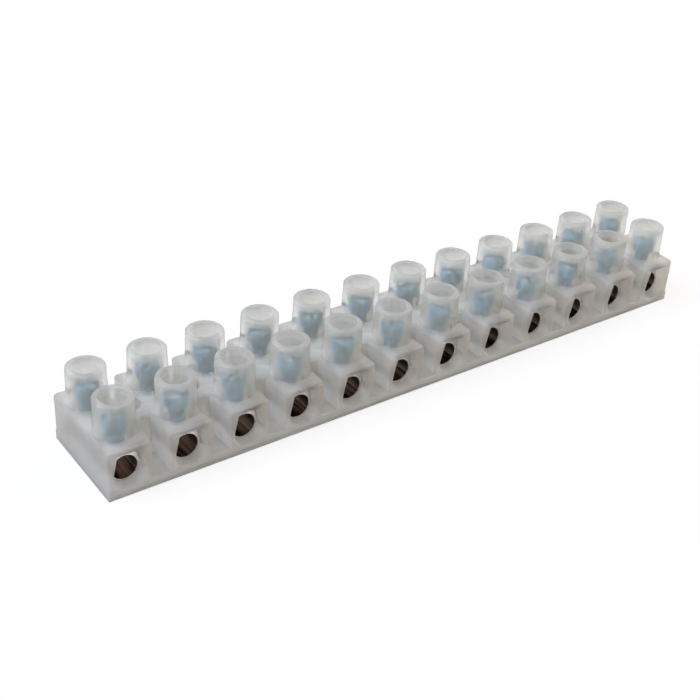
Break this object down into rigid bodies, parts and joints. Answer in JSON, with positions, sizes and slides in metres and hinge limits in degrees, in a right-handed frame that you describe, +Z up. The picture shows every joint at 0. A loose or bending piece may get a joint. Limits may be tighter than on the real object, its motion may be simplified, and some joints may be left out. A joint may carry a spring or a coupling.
{
  "type": "pillar terminal connector strip",
  "caption": "Translucent screw connector strip: metal pillar terminals in a moulded row of blocks, each with two wire entries and two clamping screws in open towers.",
  "frame": {"origin": "middle of the underside of the strip", "axes": "+X along the row of poles, +Y from the front wire entries to the rear ones, +Z up the towers"},
  "size_m": [0.1172, 0.0182, 0.0147],
  "materials": {
    "insulator": "milky translucent natural polyethylene, moulded",
    "terminal_metal": "extruded brass, thinly nickel plated, bare brass where it was drilled",
    "screw_steel": "zinc-plated steel, clear blue passivated"
  },
  "bodies": {
    "strip": {"housing": "insulator", "terminal_01": "terminal_metal", "terminal_02": "terminal_metal", "terminal_03": "terminal_metal", "terminal_04": "terminal_metal", "terminal_05": "terminal_metal", "terminal_06": "terminal_metal", "terminal_07": "terminal_metal", "terminal_08": "terminal_metal", "terminal_09": "terminal_metal", "terminal_10": "terminal_metal", "terminal_11": "terminal_metal", "terminal_12": "terminal_metal"},
    "clamp_front_01": {"screw_front_01": "screw_steel"},
    "clamp_front_02": {"screw_front_02": "screw_steel"},
    "clamp_front_03": {"screw_front_03": "screw_steel"},
    "clamp_front_04": {"screw_front_04": "screw_steel"},
    "clamp_front_05": {"screw_front_05": "screw_steel"},
    "clamp_front_06": {"screw_front_06": "screw_steel"},
    "clamp_front_07": {"screw_front_07": "screw_steel"},
    "clamp_front_08": {"screw_front_08": "screw_steel"},
    "clamp_front_09": {"screw_front_09": "screw_steel"},
    "clamp_front_10": {"screw_front_10": "screw_steel"},
    "clamp_front_11": {"screw_front_11": "screw_steel"},
    "clamp_front_12": {"screw_front_12": "screw_steel"},
    "clamp_rear_01": {"screw_rear_01": "screw_steel"},
    "clamp_rear_02": {"screw_rear_02": "screw_steel"},
    "clamp_rear_03": {"screw_rear_03": "screw_steel"},
    "clamp_rear_04": {"screw_rear_04": "screw_steel"},
    "clamp_rear_05": {"screw_rear_05": "screw_steel"},
    "clamp_rear_06": {"screw_rear_06": "screw_steel"},
    "clamp_rear_07": {"screw_rear_07": "screw_steel"},
    "clamp_rear_08": {"screw_rear_08": "screw_steel"},
    "clamp_rear_09": {"screw_rear_09": "screw_steel"},
    "clamp_rear_10": {"screw_rear_10": "screw_steel"},
    "clamp_rear_11": {"screw_rear_11": "screw_steel"},
    "clamp_rear_12": {"screw_rear_12": "screw_steel"}
  },
  "joints": [
    {"name": "screw_front_01_travel", "type": "slide", "parent": "strip", "child": "clamp_front_01", "axis": [0, 0, 1], "range_m": [-0.0024, 0.0006]},
    {"name": "screw_front_02_travel", "type": "slide", "parent": "strip", "child": "clamp_front_02", "axis": [0, 0, 1], "range_m": [-0.0024, 0.0006]},
    {"name": "screw_front_03_travel", "type": "slide", "parent": "strip", "child": "clamp_front_03", "axis": [0, 0, 1], "range_m": [-0.0024, 0.0006]},
    {"name": "screw_front_04_travel", "type": "slide", "parent": "strip", "child": "clamp_front_04", "axis": [0, 0, 1], "range_m": [-0.0024, 0.0006]},
    {"name": "screw_front_05_travel", "type": "slide", "parent": "strip", "child": "clamp_front_05", "axis": [0, 0, 1], "range_m": [-0.0024, 0.0006]},
    {"name": "screw_front_06_travel", "type": "slide", "parent": "strip", "child": "clamp_front_06", "axis": [0, 0, 1], "range_m": [-0.0024, 0.0006]},
    {"name": "screw_front_07_travel", "type": "slide", "parent": "strip", "child": "clamp_front_07", "axis": [0, 0, 1], "range_m": [-0.0024, 0.0006]},
    {"name": "screw_front_08_travel", "type": "slide", "parent": "strip", "child": "clamp_front_08", "axis": [0, 0, 1], "range_m": [-0.0024, 0.0006]},
    {"name": "screw_front_09_travel", "type": "slide", "parent": "strip", "child": "clamp_front_09", "axis": [0, 0, 1], "range_m": [-0.0024, 0.0006]},
    {"name": "screw_front_10_travel", "type": "slide", "parent": "strip", "child": "clamp_front_10", "axis": [0, 0, 1], "range_m": [-0.0024, 0.0006]},
    {"name": "screw_front_11_travel", "type": "slide", "parent": "strip", "child": "clamp_front_11", "axis": [0, 0, 1], "range_m": [-0.0024, 0.0006]},
    {"name": "screw_front_12_travel", "type": "slide", "parent": "strip", "child": "clamp_front_12", "axis": [0, 0, 1], "range_m": [-0.0024, 0.0006]},
    {"name": "screw_rear_01_travel", "type": "slide", "parent": "strip", "child": "clamp_rear_01", "axis": [0, 0, 1], "range_m": [-0.0024, 0.0006]},
    {"name": "screw_rear_02_travel", "type": "slide", "parent": "strip", "child": "clamp_rear_02", "axis": [0, 0, 1], "range_m": [-0.0024, 0.0006]},
    {"name": "screw_rear_03_travel", "type": "slide", "parent": "strip", "child": "clamp_rear_03", "axis": [0, 0, 1], "range_m": [-0.0024, 0.0006]},
    {"name": "screw_rear_04_travel", "type": "slide", "parent": "strip", "child": "clamp_rear_04", "axis": [0, 0, 1], "range_m": [-0.0024, 0.0006]},
    {"name": "screw_rear_05_travel", "type": "slide", "parent": "strip", "child": "clamp_rear_05", "axis": [0, 0, 1], "range_m": [-0.0024, 0.0006]},
    {"name": "screw_rear_06_travel", "type": "slide", "parent": "strip", "child": "clamp_rear_06", "axis": [0, 0, 1], "range_m": [-0.0024, 0.0006]},
    {"name": "screw_rear_07_travel", "type": "slide", "parent": "strip", "child": "clamp_rear_07", "axis": [0, 0, 1], "range_m": [-0.0024, 0.0006]},
    {"name": "screw_rear_08_travel", "type": "slide", "parent": "strip", "child": "clamp_rear_08", "axis": [0, 0, 1], "range_m": [-0.0024, 0.0006]},
    {"name": "screw_rear_09_travel", "type": "slide", "parent": "strip", "child": "clamp_rear_09", "axis": [0, 0, 1], "range_m": [-0.0024, 0.0006]},
    {"name": "screw_rear_10_travel", "type": "slide", "parent": "strip", "child": "clamp_rear_10", "axis": [0, 0, 1], "range_m": [-0.0024, 0.0006]},
    {"name": "screw_rear_11_travel", "type": "slide", "parent": "strip", "child": "clamp_rear_11", "axis": [0, 0, 1], "range_m": [-0.0024, 0.0006]},
    {"name": "screw_rear_12_travel", "type": "slide", "parent": "strip", "child": "clamp_rear_12", "axis": [0, 0, 1], "range_m": [-0.0024, 0.0006]}
  ]
}
